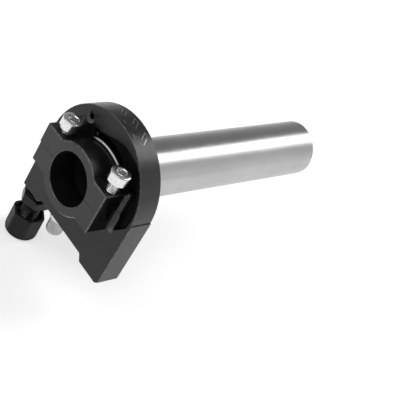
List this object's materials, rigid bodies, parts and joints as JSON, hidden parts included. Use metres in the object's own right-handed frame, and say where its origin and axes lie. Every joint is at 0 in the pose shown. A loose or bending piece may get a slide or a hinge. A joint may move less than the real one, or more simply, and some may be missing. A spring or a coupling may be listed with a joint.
{
  "type": "motorcycle throttle grip",
  "caption": "Quick-action motorcycle throttle: split clamp housing, cable drum on an aluminium twist tube, return spring, travel stop and a barrel cable adjuster.",
  "frame": {"origin": "centre of the handlebar bore on the clamp's inboard face", "axes": "+X along the handlebar towards its free end, +Z towards the clamp screws' heads, +Y to the cable's side"},
  "size_m": [0.1394, 0.0591, 0.0852],
  "materials": {
    "black_anodised": "satin black anodised",
    "bare_aluminium": "fine brushed",
    "bright_steel": "bright plated",
    "spring_steel": "drawn wire",
    "black_steel": "blackened",
    "black_plastic": "moulded",
    "white_nylon": "plain"
  },
  "bodies": {
    "housing": {"housing_lower": "black_anodised", "housing_upper": "black_anodised", "clamp_screw_front": "bright_steel", "clamp_screw_rear": "bright_steel", "return_spring": "spring_steel", "stop_screw": "bright_steel", "stop_screw_nut": "bright_steel", "thrust_washer": "white_nylon"},
    "grip": {"throttle_tube": "bare_aluminium", "cable_drum": "black_anodised", "drum_screw_1": "spring_steel", "drum_screw_2": "spring_steel", "drum_screw_3": "spring_steel"},
    "adjuster_slider": {"ferrule_cup": "spring_steel"},
    "adjuster": {"adjuster_screw": "black_steel", "adjuster_knob": "black_plastic"},
    "nut_slider": {"lock_washer": "black_steel"},
    "nut": {"lock_nut": "black_steel"}
  },
  "joints": [
    {"name": "throttle_twist", "type": "hinge", "parent": "housing", "child": "grip", "pos_m": [0, 0, 0], "axis": [1, 0, 0], "range_deg": [0, 75], "stiffness_Nm_per_rad": 0.15, "springref_deg": -57.3},
    {"name": "adjuster_travel", "type": "slide", "parent": "housing", "child": "adjuster_slider", "axis": [0, 0, 1], "range_m": [-0.0025, 0.00375]},
    {"name": "adjuster_turn", "type": "hinge", "parent": "adjuster_slider", "child": "adjuster", "pos_m": [0.0171, 0.0232, -0.0448], "axis": [0, 0, 1], "range_deg": [-720, 1080]},
    {"name": "nut_travel", "type": "slide", "parent": "housing", "child": "nut_slider", "axis": [0, 0, 1], "range_m": [-0.00125, 0]},
    {"name": "nut_turn", "type": "hinge", "parent": "nut_slider", "child": "nut", "pos_m": [0.0171, 0.0232, -0.0448], "axis": [0, 0, 1], "range_deg": [-360, 0]}
  ],
  "couplings": [
    {"joint": "adjuster_travel", "follows": "adjuster_turn", "m_per_rad": 0.00019894},
    {"joint": "nut_travel", "follows": "nut_turn", "m_per_rad": 0.00019894}
  ]
}
